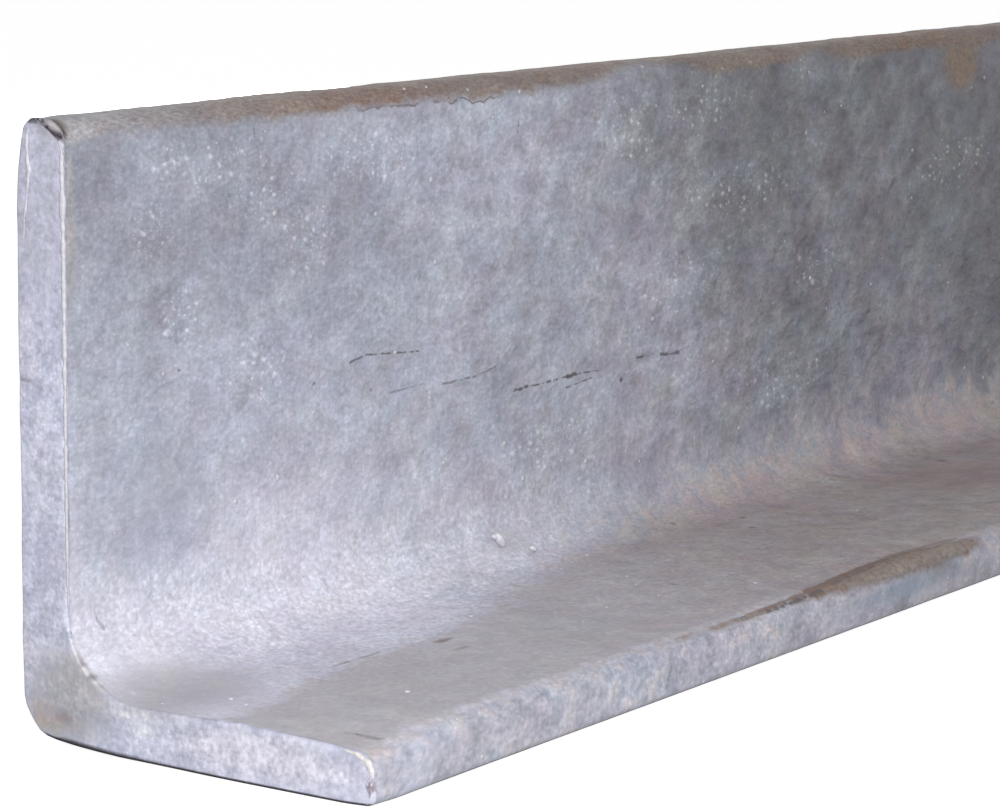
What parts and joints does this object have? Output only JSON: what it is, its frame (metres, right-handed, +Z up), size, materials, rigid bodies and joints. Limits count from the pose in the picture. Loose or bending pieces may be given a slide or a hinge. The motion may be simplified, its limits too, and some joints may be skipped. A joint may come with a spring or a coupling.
{
  "type": "metal angle section",
  "caption": "Length of hot-rolled unequal steel angle, L-shaped in section and galvanised, for framing, lintels, brackets and edge support.",
  "frame": {"origin": "on the floor under the middle of the bar's length and of the foot's width: the middle of the bottom of its box", "axes": "+X along the bar, away from the cut end that is seen first; +Y to the back of the standing leg; +Z up, along the standing leg"},
  "size_m": [0.9144, 0.0888, 0.127],
  "materials": {
    "galvanised_steel": "hot-dip galvanised, dull mottled zinc grey, grainy, with light brown staining along the tips of the legs"
  },
  "bodies": {
    "root": {"angle_section": "galvanised_steel"}
  },
  "joints": []
}
